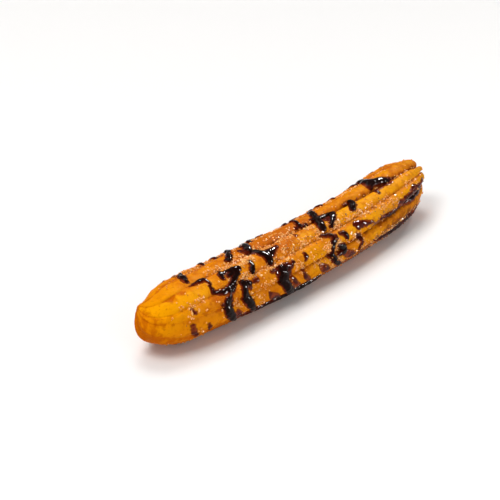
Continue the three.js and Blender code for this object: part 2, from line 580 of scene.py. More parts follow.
# The sauce that shows, from the near end to the far end: threads, beads, heavy drips and thin smears.
SAUCE_RUNS = (
    Run(((32.5, 120, 1.2), (29.5, 106, 1.2), (27.8, 95, 1.7), (26.8, 84, 1.8)), 1.0),
    Run(
        (
            (26.5, 69, 0.3), (30, 69.5, 1.0), (34.2, 69, 1.3), (36, 60, 1.1),
            (35.4, 51, 0.9), (35.5, 46, 1.1),
        ),
        0.7,
    ),
    Run(
        (
            (35, 40.5, 0.9), (38, 36, 1.2), (42.5, 33.5, 1.7), (46.5, 34, 2.2),
            (50, 43, 1.9), (54, 54, 1.7), (56.5, 59, 1.0),
        ),
        0.9,
    ),
    Run(((45, 57, 1.4), (45.5, 63, 1.5), (49, 64.5, 0.9), (53, 61.5, 1.6), (57, 60, 1.4)), 1.0),
    Run(((48.5, 54, 1.1), (52, 58, 1.6)), 0.8),
    Run(
        (
            (44.8, 34, 1.8), (44, 22, 1.1), (41.6, 12, 2.6), (41, 3, 3.0),
            (43.3, -12, 2.2), (47.5, -30, 1.8), (50, -42, 1.6),
        ),
        1.4,
    ),
    Run(((37.5, 14, 0.7), (40.5, 11, 1.4)), 0.5),
    Run(((45, 12, 0.8), (44.5, 4, 0.7)), 0.25),
    Run(((48, -15, 1.6), (51, -28, 1.9), (54, -41, 1.3)), 0.3),
    Run(((53.5, 31, 0.8), (56, 31, 1.4), (58.5, 27, 1.1)), 0.7),
    Run(
        (
            (54.6, 32, 2.0), (54, 20, 1.9), (53.8, 8, 2.4), (56, -5, 2.5),
            (59, -20, 1.8), (64, -40, 1.4),
        ),
        1.3,
    ),
    Run(((57, 28, 1.6), (58, 19, 0.9)), 0.35),
    Run(((66, 124, 1.2), (63.5, 110, 1.3), (61, 99, 1.5), (58.5, 90, 1.4), (56, 87, 1.2)), 1.2),
    Run(
        (
            (75.5, 119, 2.0), (73, 103, 2.6), (71.5, 90, 2.2), (72, 80, 1.8),
            (74, 71, 2.4), (76, 59, 2.6), (76, 48, 2.2),
        ),
        1.0,
    ),
    Run(((77, 60, 2.8), (81, 62, 2.0), (85.5, 67, 0.8)), 0.8),
    Run(((67.5, 94, 1.2), (69, 84, 1.4)), 0.3),
    Run(((65.5, 63, 0.5), (64.5, 54, 1.1), (63, 45.5, 1.4)), 1.1),
    Run(((61, 27.5, 1.0), (63, 28, 1.4)), 0.22),
    Run(((73.5, 30, 0.6), (78, 28, 1.6), (84, 26, 1.9), (87, 24, 1.3)), 0.5),
    Run(
        (
            (80.5, 24, 2.6), (80.5, 10, 3.5), (81.5, -2, 2.8), (84.5, -18, 2.4),
            (88, -32, 2.2), (91, -42, 1.6),
        ),
        1.8,
    ),
    Run(((76.5, 22, 0.8), (78, 8, 0.8)), 0.25),
    Run(((87.5, 26, 0.8), (88.7, 28, 0.8)), 0.5),
    Run(((84.5, 16, 1.6), (86, 4, 1.2), (88, -8, 1.3), (92, -22, 1.0), (95, -36, 0.8)), 0.25),
    Run(((70.5, -8, 0.9), (73.5, -18, 1.9), (77, -28, 1.9), (80, -42, 1.2)), 0.22),
    Run(((97.5, 32, 0.6), (98, 27, 1.2), (97, 20, 0.5)), 0.35),
    Run(((96, 10, 0.4), (95.6, -4, 0.9), (98, -16, 0.9), (101, -30, 0.8)), 0.3),
    Run(((100, 76, 0.4), (100, 70, 1.1)), 0.25),
    Run(((109.5, 112, 1.0), (109.2, 100, 1.3), (108, 91, 1.3)), 0.8),
    Run(((105.5, 88, 0.5), (109, 86.5, 0.9), (113, 85, 0.5)), 0.5),
    Run(((124, 112, 1.7), (122, 99, 2.0), (120, 90, 1.6)), 1.0),
    Run(((117, 88, 0.8), (122, 84, 1.3), (127, 81.5, 1.2), (131.5, 78, 0.9)), 0.8),
    Run(((120, 82, 2.0), (118.5, 72, 2.3), (117, 63, 2.6), (116.5, 58, 1.9)), 1.5),
    Run(((121, 79, 1.6), (123.5, 73, 2.2), (126, 74, 1.8)), 0.25),
    Run(((131, 75, 1.1), (127.5, 67, 1.5), (124, 58, 1.4), (123, 54, 1.1)), 1.0),
    Run(((113.5, 47, 0.7), (117, 42.5, 1.3), (119.5, 36, 1.2), (119, 27, 1.6)), 0.7),
    Run(((121.5, 35, 0.6), (121.8, 28, 0.6)), 0.25),
    Run(((125, 34, 0.8), (127.5, 30, 1.4), (128.5, 23, 1.6)), 0.7),
    Run(
        (
            (118, 27, 1.4), (117, 14, 1.4), (116.5, 2, 1.7), (119.5, -14, 1.4),
            (123, -26, 1.2), (126, -40, 1.0),
        ),
        0.9,
    ),
    Run(((113, 8, 0.6), (114.5, 2, 0.8), (116, -6, 1.0)), 0.25),
    Run(((121.5, 17, 0.8), (123.5, 12, 1.5), (126, 6, 1.5), (125.5, -2, 1.2), (121, -2, 0.9)), 0.9),
    Run(((107.5, -5, 1.0), (110, -14, 2.0), (114, -26, 1.8), (119, -40, 1.2)), 0.22),
    Run(((126, -6, 1.4), (130, -16, 2.2), (134, -28, 1.9), (139, -40, 1.2)), 0.22),
    Run(((136.8, 35, 0.9), (139, 30, 2.0), (143.5, 26.5, 1.4), (149, 22, 0.8)), 0.35),
    Run(((135.5, 16, 0.8), (138.5, 7, 1.5), (139.5, -3, 1.4), (138, -14, 1.3)), 0.4),
    Run(((141.5, 82, 0.5), (146, 79.5, 1.0), (149, 78, 0.6)), 0.5),
    Run(((146.5, 76, 1.3), (144.5, 69, 1.9), (141.5, 63, 1.7)), 1.3),
    Run(((173, 136, 2.2), (171, 120, 2.8), (167.5, 103, 2.8), (166, 92, 3.0), (164.5, 86.5, 2.2)), 0.9),
    Run(((169, 89, 2.8), (174, 83, 2.2), (179, 74, 1.4), (185, 68, 0.5)), 0.9),
    Run(((163.8, 68, 0.8), (164.6, 62.5, 1.0)), 0.5),
    Run(((164, 70.5, 0.8), (171, 69.5, 1.0), (178, 66.5, 0.6)), 0.2),
    Run(((199, 62, 0.3), (203, 63, 0.5)), 0.12),
    Run(((186, 28, 0.8), (189.5, 30, 1.1), (192, 27, 0.8)), 0.3),
    Run(((157, 17, 0.8), (163, 14, 1.0), (170, 11, 1.2), (176, 12, 0.8)), 0.5),
    Run(((173, 21, 0.8), (179, 19, 1.6), (188, 19, 1.9), (196, 21, 1.4), (202, 27, 1.0)), 0.35),
    Run(((178, 9, 0.8), (186, 8, 1.2), (194, 9, 1.2), (200, 10, 0.8)), 0.6),
    Run(((156, -39, 1.0), (168, -42, 2.2), (182, -44, 2.2), (196, -42, 1.4)), 0.5),
    Run(((18.9, -2, 0.8), (19.6, -12, 1.2), (21.5, -26, 1.1), (24, -38, 1.0)), 0.22),
    Run(((28, -10, 0.4), (30, -22, 0.9), (32.5, -36, 0.6)), 0.2),
    Run(((19.8, 27, 0.5), (20.6, 19, 0.6)), 0.25),
    Run(((56, -42, 1.0), (72, -46, 1.8), (90, -48, 2.4), (104, -47, 2.0), (114, -44, 1.0)), 0.9),
)


@dataclass(frozen=True)
class FarSideDrizzle:
    """Thin runs of sauce over the back, as a spoon waved across the stick leaves them.

    Each run starts on top and goes down the back, drifting along the stick, and about half of them end in
    a heavy drop.
    """

    count: int = 21
    first: float = 20.0
    last: float = 192.0
    top: float = 118.0
    seed: int = 41

    def runs(self) -> tuple[Run, ...]:
        """The runs, from seeded random lengths, drifts and widths."""
        rng = np.random.default_rng(self.seed)
        made = []
        for place in np.linspace(self.first, self.last, self.count):
            place = place + rng.uniform(-4, 4)
            top = self.top + rng.uniform(-6, 22)
            low = top + rng.uniform(22, 88)
            drift = rng.uniform(-5, 9)
            bend = rng.uniform(-3, 3)
            width = rng.uniform(0.6, 1.6)
            start = (place, top, 0.6 * width)
            bent = (place + 0.4 * drift + bend, top + 0.45 * (low - top), width)
            made.append(Run((start, bent, (place + drift, low, 0.9 * width)), 0.5 * width))
            if rng.uniform() < 0.5:
                drop = rng.uniform(1.5, 2.8)
                path = ((place + 0.8 * drift, low - 8, width), (place + drift, low + 6, drop))
                made.append(Run(path, 0.5 * drop))
        return tuple(made)


@dataclass(frozen=True)
class Drizzle:
    """All the chocolate sauce, as a layer whose thickness is known anywhere on the skin."""

    shown: tuple[Run, ...] = SAUCE_RUNS
    far_side: FarSideDrizzle = field(default_factory=FarSideDrizzle)
    spill: float = 0.25

    def over(self, patch: Patch) -> Spread:
        """The sauce at some places of the skin, with wandering edges and an uneven top."""
        place, angle = wandering(patch, 71, 2.4, 0.65)
        fine = 0.3 * Lumps(0.9, 77, 1).at(patch.point)
        place, angle = place + fine, angle - fine / ARC_MM_PER_DEGREE
        runs = self.shown + self.far_side.runs()
        flat = spread(runs, place.ravel(), angle.ravel(), spill=self.spill)
        thickness = flat.thickness.reshape(patch.place.shape)
        uneven = 1.0 + 0.22 * Lumps(3.2, 75, 2).at(patch.point)
        thickness = np.where(thickness > 0, thickness * uneven, thickness)
        return Spread(thickness, flat.inside.reshape(patch.place.shape))


# ---- Finishes ----


class NodeSheet:
    """Builds one node tree: adds nodes, sets their sockets and links them."""

    def __init__(self, tree: bpy.types.NodeTree) -> None:
        """Starts from an empty tree."""
        self.tree = tree
        self.tree.nodes.clear()

    def add(self, kind: str, inputs: dict[str | int, object] | None = None, **settings: object) -> Node:
        """Adds a node.

        Args:
            kind: Its Blender type, without the ShaderNode prefix.
            inputs: Socket name or number to a value, or to an output socket to link from.
            **settings: Properties of the node.

        Returns:
            The node.
        """
        node = self.tree.nodes.new(kind if kind.startswith("Node") else "ShaderNode" + kind)
        for key, value in settings.items():
            setattr(node, key, value)
        for key, value in (inputs or {}).items():
            self.put(node.inputs[key], value)
        return node

    def put(self, socket: Socket, value: object) -> None:
        """Sets a socket's value, or links an output to it."""
        if isinstance(value, Socket):
            self.tree.links.new(value, socket)
        elif isinstance(value, tuple) and len(value) == 3 and socket.type == "RGBA":
            socket.default_value = (*value, 1.0)
        else:
            socket.default_value = value

    def value(self, name: str) -> Socket:
        """A mesh attribute's number."""
        return self.add("Attribute", attribute_name=name, attribute_type="GEOMETRY").outputs["Fac"]

    def math(self, operation: str, *values: object) -> Socket:
        """Arithmetic on one to three numbers."""
        node = self.add("Math", dict(enumerate(values)), operation=operation)
        return node.outputs[0]

    def blend(self, share: object, first: object, second: object) -> Socket:
        """A mix of two colours."""
        node = self.add("Mix", data_type="RGBA", clamp_factor=True)
        self.put(node.inputs["Factor"], share)
        self.put(node.inputs[6], first)
        self.put(node.inputs[7], second)
        return node.outputs[2]

    def step(
        self, value: object, low: float, high: float, out_low: float = 0.0, out_high: float = 1.0
    ) -> Socket:
        """A number brought smoothly from one range to another and kept inside it."""
        inputs = {"Value": value, "From Min": low, "From Max": high, "To Min": out_low, "To Max": out_high}
        return self.add("MapRange", inputs, interpolation_type="SMOOTHSTEP").outputs[0]


def mottle_group() -> bpy.types.NodeTree:
    """The shared uneven patches: noise at a size in metres, as a mask from 0 to 1 with a chosen contrast."""
    tree = bpy.data.node_groups.new("mottle", "ShaderNodeTree")
    tree.interface.new_socket("Place", in_out="INPUT", socket_type="NodeSocketVector")
    for name, start in (("Size", 0.01), ("Detail", 2.0), ("Low", 0.4), ("High", 0.6)):
        tree.interface.new_socket(name, in_out="INPUT", socket_type="NodeSocketFloat").default_value = start
    tree.interface.new_socket("Mask", in_out="OUTPUT", socket_type="NodeSocketFloat")
    sheet = NodeSheet(tree)
    given = sheet.add("NodeGroupInput").outputs
    scale = sheet.math("DIVIDE", 1.0, given["Size"])
    inputs = {"Vector": given["Place"], "Scale": scale, "Detail": given["Detail"]}
    noise = sheet.add("TexNoise", inputs).outputs["Fac"]
    bounds = {"Value": noise, "From Min": given["Low"], "From Max": given["High"]}
    mask = sheet.add("MapRange", bounds, interpolation_type="SMOOTHSTEP").outputs[0]
    sheet.add("NodeGroupOutput", {"Mask": mask})
    return tree


@dataclass(frozen=True)
class Finish:
    """What every finish here shares."""

    name: str

    def sheet(self) -> tuple[bpy.types.Material, NodeSheet, Socket]:
        """A new material, its node sheet and its object coordinates."""
        material = bpy.data.materials.new(self.name)
        material.use_nodes = True
        sheet = NodeSheet(material.node_tree)
        place = sheet.add("TexCoord").outputs["Object"]
        return material, sheet, place

    @staticmethod
    def mottled(
        sheet: NodeSheet, place: object, size: float, low: float, high: float, detail: float = 2.0
    ) -> Socket:
        """The mottle group's mask at one size."""
        node = sheet.add("Group", node_tree=MOTTLE)
        for key, value in {"Place": place, "Size": size, "Detail": detail, "Low": low, "High": high}.items():
            sheet.put(node.inputs[key], value)
        return node.outputs["Mask"]

    @staticmethod
    def close(sheet: NodeSheet, shader: Node) -> None:
        """Sends the shader to the material's output."""
        sheet.add("OutputMaterial", {"Surface": shader.outputs[0]})


@dataclass(frozen=True)
class FriedDough(Finish):
    """The golden crust: yellow in patches and with painted highlight, orange on the body and with painted
    shade below, and painted shade in brown in its creases.
    """

    name: str = "fried_dough"
    yellow: Colour = (0.82, 0.320, 0.0008)
    golden: Colour = (0.69, 0.205, 0.0008)
    orange: Colour = (0.50, 0.102, 0.0008)
    brown: Colour = (0.150, 0.026, 0.0015)
    dusted: Colour = (0.86, 0.40, 0.085)
    stain: Colour = (0.075, 0.008, 0.002)

    def make(self) -> bpy.types.Material:
        """Builds the material from its attributes: yellow patches with painted highlight, browner crust with
        painted shade, painted shade in brown, dust and stain.
        """
        material, sheet, place = self.sheet()
        broad = self.mottled(sheet, place, 0.016, 0.35, 0.65)
        fine = self.mottled(sheet, place, 0.0032, 0.38, 0.66, 3.0)
        grain = self.mottled(sheet, place, 0.0009, 0.3, 0.7, 2.0)
        # Yellow patches of the crust, and painted highlight on the lit ridge crests and on the near end's
        # top.
        yellow_and_highlight = sheet.math("ADD", sheet.value("yellow_and_highlight"), sheet.math("MULTIPLY_ADD", broad, 0.4, -0.2))
        colour = sheet.blend(sheet.step(yellow_and_highlight, 0.0, 1.0), self.golden, self.yellow)
        # More orange where the crust is browner, and painted shade towards the underside, down into the
        # creases and on the near tip's end face.
        toast_and_shade = sheet.math("ADD", sheet.value("toast_and_shade"), sheet.math("MULTIPLY_ADD", fine, 0.55, -0.28))
        colour = sheet.blend(sheet.step(toast_and_shade, 0.0, 1.0), colour, self.orange)
        # Painted shade in brown: in the creases, along the floor and on the lower far side.
        crease = sheet.math("MULTIPLY", sheet.value("crease"), sheet.math("MULTIPLY_ADD", fine, 0.6, 0.55))
        colour = sheet.blend(sheet.step(crease, 0.1, 1.1, 0.0, 0.85), colour, self.brown)
        freckle = sheet.math("MULTIPLY", self.mottled(sheet, place, 0.0016, 0.58, 0.72), 0.45)
        colour = sheet.blend(freckle, colour, self.orange)
        colour = sheet.blend(sheet.math("MULTIPLY", grain, 0.12), colour, self.yellow)
        dust = sheet.math("MULTIPLY", sheet.value("dust"), self.mottled(sheet, place, 0.0008, 0.46, 0.60))
        colour = sheet.blend(dust, colour, self.dusted)
        stain = sheet.math("MULTIPLY", sheet.value("stain"), sheet.math("MULTIPLY_ADD", grain, 0.3, 0.8))
        colour = sheet.blend(sheet.step(stain, 0.05, 0.95), colour, self.stain)
        height = sheet.math("ADD", sheet.math("MULTIPLY", fine, 0.6), sheet.math("MULTIPLY", grain, 0.3))
        bump = sheet.add("Bump", {"Strength": 0.55, "Distance": 0.00035, "Height": height})
        shader = sheet.add(
            "BsdfPrincipled",
            {
                "Base Color": colour,
                "Roughness": sheet.step(fine, 0.0, 1.0, 0.50, 0.66),
                "Normal": bump.outputs[0],
                "Specular IOR Level": 0.015,
                "Specular Tint": (1.0, 0.55, 0.15),
                "Subsurface Weight": 0.10,
                "Subsurface Radius": (0.0022, 0.0009, 0.0003),
                "Subsurface Scale": 1.0,
            },
        )
        self.close(sheet, shader)
        return material


@dataclass(frozen=True)
class ChocolateSauce(Finish):
    """Wet dark sauce, red-brown where it is thin, and lighter still where it thins out at its edges."""

    name: str = "chocolate_sauce"
    deep: Colour = (0.0085, 0.0016, 0.0010)
    thin: Colour = (0.085, 0.0060, 0.0008)
    film: Colour = (0.230, 0.0330, 0.0010)

    def make(self) -> bpy.types.Material:
        """Builds the material from the attribute depth, the sauce's thickness in millimetres."""
        material, sheet, place = self.sheet()
        cloud = self.mottled(sheet, place, 0.004, 0.35, 0.7)
        depth = sheet.math("ADD", sheet.value("depth"), sheet.math("MULTIPLY_ADD", cloud, -0.3, 0.1))
        colour = sheet.blend(sheet.step(depth, 0.0, 0.18), self.film, self.thin)
        colour = sheet.blend(sheet.step(depth, 0.12, 0.75), colour, self.deep)
        shader = sheet.add(
            "BsdfPrincipled",
            {
                "Base Color": colour,
                "Roughness": sheet.step(cloud, 0.0, 1.0, 0.06, 0.17),
                "Specular IOR Level": 0.045,
            },
        )
        self.close(sheet, shader)
        return material


@dataclass(frozen=True)
class SugarCrystal(Finish):
    """Pale crystals, tinted peach by oil and cinnamon, and dark where they lie in sauce."""

    name: str = "sugar_crystal"
    pale: Colour = (1.0, 0.56, 0.20)
    tinted: Colour = (0.80, 0.29, 0.036)
    soaked: Colour = (0.20, 0.045, 0.012)

    def make(self) -> bpy.types.Material:
        """Builds the material from the attributes tint and soak."""
        material, sheet, _ = self.sheet()
        colour = sheet.blend(sheet.value("tint"), self.pale, self.tinted)
        colour = sheet.blend(sheet.value("soak"), colour, self.soaked)
        shader = sheet.add(
            "BsdfPrincipled",
            {
                "Base Color": colour,
                "Roughness": 0.28,
                "Specular IOR Level": 0.2,
                "Subsurface Weight": 0.3,
                "Subsurface Radius": (0.0008, 0.0006, 0.0004),
                "Subsurface Scale": 1.0,
            },
        )
        self.close(sheet, shader)
        return material


@dataclass(frozen=True)
class Cinnamon(Finish):
    """Dry brown grains."""

    name: str = "cinnamon"
    light: Colour = (0.34, 0.100, 0.020)
    dark: Colour = (0.095, 0.022, 0.006)

    def make(self) -> bpy.types.Material:
        """Builds the material from the attribute tint."""
        material, sheet, _ = self.sheet()
        colour = sheet.blend(sheet.value("tint"), self.light, self.dark)
        self.close(sheet, sheet.add("BsdfPrincipled", {"Base Color": colour, "Roughness": 0.7}))
        return material


MOTTLE = mottle_group()


# ---- Pieces ----


def dress(piece: Piece, finish: Finish) -> None:
    """Gives a piece its finish, and lets it ride on the churro's body."""
    piece.data.materials.append(finish.make())
    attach(piece, "root")


@dataclass
class Scatter:
    """Many small grains on the skin, thicker along some bands."""

    skin: DoughSkin
    drizzle: Drizzle
    name: str
    bands: tuple[Run, ...]
    count: int
    sizes: Place
    everywhere: float
    on_sauce: float
    seed: int

    def places(self) -> tuple[Patch, Array, Array, Array, Array]:
        """Chooses where the grains lie.

        Every cell of a grid over the skin gets a chance in step with its area and with how strongly the
        bands count there, and each grain is put at random inside the cell that it draws.

        Returns:
            The places of the skin, their normals, the sauce's thickness there, the grain sizes and the
            strength of the band that each lies in.
        """
        rng = np.random.default_rng(self.seed)
        rings = stations(GRAIN_CELLS, 10 * GRAIN_CELLS, GRAIN_CELLS)
        columns = self.skin.ridges * GRAIN_CELLS
        middle = (rings[1:] + rings[:-1]) / 2
        station, turn = np.meshgrid(middle, (np.arange(columns) + 0.5) / GRAIN_CELLS, indexing="ij")
        patch = self.skin.smooth(station, turn)
        strength = self.strength(patch)
        area = self._area(station, turn, np.diff(rings)[:, None], 1 / GRAIN_CELLS)
        wet = ramp(self.drizzle.over(patch).thickness, -0.1, 0.3)
        chance = strength * area * (1 - wet * (1 - self.on_sauce))
        chance = chance * ramp(patch.point[..., 2], 0.2, 2.0)
        drawn = rng.choice(chance.size, self.count, p=(chance / chance.sum()).ravel())
        ring, column = np.unravel_index(drawn, chance.shape)
        station = middle[ring] + rng.uniform(-0.5, 0.5, self.count) * np.diff(rings)[ring]
        turn = (column + 0.5 + rng.uniform(-0.5, 0.5, self.count)) / GRAIN_CELLS
        spot = self.skin.surface(station, turn)
        normal = self.skin.outward(station, turn)
        low, high = self.sizes
        size = low + (high - low) * rng.beta(1.6, 2.6, self.count)
        thickness = self.drizzle.over(self.skin.smooth(station, turn)).thickness
        return spot, normal, thickness, size, strength[ring, column]

    def strength(self, patch: Patch) -> Array:
        """How thick the grains lie: a little everywhere, and a bell curve across each band, in patches."""
        place, angle = wandering(patch, self.seed + 3, 5.0, 1.2)
        patchy = ramp(Lumps(4.5, self.seed + 5, 2).at(patch.point), -0.35, 0.45)
        total = self.everywhere * ramp(place, 4, 22)
        for band in self.bands:
            inside = spread((band,), place.ravel(), angle.ravel(), 6.0).inside.reshape(place.shape)
            total += band.weight * ramp(inside, -1.4, 1.0)
        return total * (0.15 + patchy)

    def _area(self, station: Array, turn: Array, along_by: Array, round_by: float) -> Array:
        """The area of each grid cell, from the skin's steps across it."""

        def across(step: Array | float, sweep: float) -> Array:
            """From the place a little before each cell's middle to the place as far after it."""
            after = self.skin.smooth(station + step, turn + sweep).point
            return after - self.skin.smooth(station - step, turn - sweep).point

        return np.linalg.norm(np.cross(across(along_by / 4, 0.0), across(0.0, round_by / 4)), axis=-1)

    def build(self, shape: Shape, finish: Finish, sunk: float) -> Piece:
        """Makes and dresses the piece.

        Args:
            shape: A grain of width 1, as points and faces.
            finish: Its finish.
            sunk: How much of a grain's size lies under the surface.

        Returns:
            The piece, with all grains in one mesh.
        """
        rng = np.random.default_rng(self.seed + 1)
        spot, normal, thickness, size, strength = self.places()
        points, faces = shape
        turned = random_turns(rng, self.count)
        stretch = rng.uniform(0.75, 1.25, (self.count, 1, 3))
        grains = np.einsum("nij,nkj->nki", turned, points[None] * stretch) * size[:, None, None]
        heaped = rng.uniform(0, 1, self.count) ** 3 * 0.7 * ramp(strength, 1.0, 3.0) * size
        lift = np.maximum(thickness, 0.0) + size * (0.5 - sunk) + heaped
        centre = spot.point + normal * lift[:, None]
        centre[:, 2] = np.maximum(centre[:, 2], size * 0.75)
        vertices = (grains + centre[:, None]).reshape(-1, 3)
        starts = np.arange(self.count)[:, None, None] * len(points)
        kinds = [(kind[None] + starts).reshape(-1, kind.shape[1]) for kind in faces]
        soak = ramp(thickness, -0.15, 0.25) * rng.uniform(0.35, 1.0, self.count)
        values = {
            "tint": np.repeat(rng.beta(1.9, 1.3, self.count), len(points)),
            "soak": np.repeat(soak, len(points)),
        }
        piece = write_mesh(self.name, vertices, kinds, values)
        piece.data.polygons.foreach_set("use_smooth", np.zeros(len(piece.data.polygons), bool))
        dress(piece, finish)
        return piece


@dataclass(frozen=True)
class Tint:
    """A patch of the crust that is yellower (sun above 0) or more orange (below 0) than the rest. The two
    yellow patches on the near end paint the highlight on its lit top.
    """

    place: float
    angle: float
    length: float
    width: float
    sun: float


CRUST_TINTS = (
    # Painted highlight on the near end's lit top and front.
    Tint(14, 46, 18, 14, 0.8),
    Tint(10, 30, 20, 60, 0.45),
    Tint(12, 62, 1.8, 7, -1.3),
    Tint(9, 65, 2.4, 3, -0.8),
    Tint(19.5, 63, 1.4, 4, -0.9),
    Tint(104, 60, 9, 16, 0.8),
    Tint(104, 8, 9, 34, 0.8),
    Tint(134, 64, 12, 14, 0.9),
    Tint(152, 60, 14, 18, 0.9),
    Tint(148, 10, 8, 24, 0.8),
    Tint(182, 52, 14, 18, 0.5),
    Tint(93, 96, 24, 24, -1.2),
    Tint(87, 62, 10, 11, -1.0),
    Tint(40, 20, 10, 16, -0.8),
    Tint(30, 106, 16, 14, -0.5),
    Tint(66, 108, 14, 20, -0.5),
    Tint(66, 20, 6, 14, -0.3),
    Tint(190, 100, 14, 20, -0.4),
    Tint(110, 170, 90, 50, -0.6),
)


def below_level(angle: Array) -> Array:
    """How many degrees below level the skin faces, the same in front and behind: 90 under the stick."""
    return np.degrees(np.arcsin(-np.sin(np.radians(angle))))


@dataclass
class DoughStick:
    """The fried dough's fine skin: rings of points from tip to tip, closed with one point at each tip."""

    skin: DoughSkin
    drizzle: Drizzle
    sugar: Scatter
    near_steps: int = 40
    body_steps: int = 330
    far_steps: int = 36
    steps_per_ridge: int = 27

    def build(self) -> Piece:
        """Makes and dresses the piece."""
        rings = stations(self.near_steps, self.body_steps, self.far_steps)[1:-1]
        columns = self.skin.ridges * self.steps_per_ridge
        station, turn = np.meshgrid(rings, np.arange(columns) / self.steps_per_ridge, indexing="ij")
        patch = self.skin.surface(station, turn)
        tips = [self._tip(patch.point[0]), self._tip(patch.point[-1])]
        points = np.vstack([patch.point.reshape(-1, 3), tips])
        values = {
            key: np.append(value.ravel(), [value[0].mean(), value[-1].mean()])
            for key, value in self._looks(patch).items()
        }
        piece = write_mesh("churro_dough", points, self._faces(len(rings), columns), values)
        dress(piece, FriedDough())
        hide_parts("churro")
        return piece

    @staticmethod
    def _tip(ring: Array) -> Array:
        """The point that closes an end: the middle of the last ring."""
        return ring.mean(axis=0)

    @staticmethod
    def _faces(rings: int, columns: int) -> list[Array]:
        """Quads between rings and triangles to the tips, all facing outwards."""
        ring, column = np.meshgrid(np.arange(rings - 1), np.arange(columns), indexing="ij")
        following = (column + 1) % columns
        here, ahead = ring * columns, (ring + 1) * columns
        quads = np.stack([here + column, here + following, ahead + following, ahead + column], axis=-1)
        edge, onward = np.arange(columns), (np.arange(columns) + 1) % columns
        last = (rings - 1) * columns
        near = np.stack([np.full(columns, rings * columns), onward, edge], axis=-1)
        far = np.stack([last + edge, last + onward, np.full(columns, rings * columns + 1)], axis=-1)
        return [quads.reshape(-1, 4), np.vstack([near, far])]

    def _looks(self, patch: Patch) -> dict[str, Array]:
        """Where the crust is yellow with painted highlight, browner with painted shade, painted with shade in
        brown, dusted and stained, each from 0 to 1.
        """
        place, angle = patch.place, patch.angle
        yellow_and_highlight, toast_and_shade = np.zeros(place.shape), np.full(place.shape, 0.2)
        for tint in CRUST_TINTS:
            here = bump_at(place, tint.place, tint.length) * bell_round(angle, tint.angle, tint.width)
            yellow_and_highlight += max(tint.sun, 0.0) * here
            toast_and_shade += max(-tint.sun, 0.0) * here
        # Painted shade: the crust is more orange the further it faces below level.
        toast_and_shade += 0.75 * ramp(below_level(angle), 5, 55)
        fold = patch.fold + 0.7 * Lumps(6.0, 15, 2).at(patch.point)
        # Painted highlight: ridge crests that face up and to the front are yellower, more so past the middle
        # of the stick.
        crest = (1.0 - ramp(patch.cut, 0.0, 0.6)) * bell_round(angle, 40, 55)
        yellow_and_highlight += crest * (0.15 + 0.65 * ramp(place, 108, 130))
        # Painted shade: more orange down each ridge's sides towards its creases.
        toast_and_shade += 0.35 * ramp(patch.cut, 0.3, 1.5)
        near_end = ramp(-place, -45, -10)
        # Painted shade along the near end's creases and on the near tip's end face; the near end is otherwise
        # a little less orange.
        toast_and_shade += near_end * 0.3 * bump_at(fold, 0.0, 1.5) + 0.4 * ramp(-patch.point[..., 0], 99, 105)
        toast_and_shade -= near_end * 0.15
        # Painted shade in brown: deep in the creases (less on the near end), along every crease line, and a
        # contact shadow within 5 mm of the floor.
        crease = 0.85 * ramp(patch.cut, 0.5, 2.4) * (1.0 - 0.6 * near_end)
        crease += (0.35 - 0.2 * near_end) * bump_at(fold, 0.0, 0.6)
        crease += 0.55 * ramp(-patch.point[..., 2], -5.0, -0.5)
        # Painted shade on the lower front of the far part, partly crust darkened under its sauce, and a
        # darker brown round the far tip.
        lower_side = ramp(place, 150, 164) * (1.0 - ramp(place, 192, 204))
        crease += 1.35 * bell_round(angle, -24, 22) * lower_side
        crease += 0.9 * bell_round(angle, 15, 40) * ramp(place, 203, 210)
        sauce = self.drizzle.over(patch)
        stain = 0.9 * ramp(sauce.inside, -0.7, 0.25)
        values = {"yellow_and_highlight": yellow_and_highlight, "toast_and_shade": toast_and_shade, "crease": crease, "dust": 0.13 * self.sugar.strength(patch)}
        return {key: np.clip(value, 0, 1) for key, value in values.items()} | {"stain": stain}


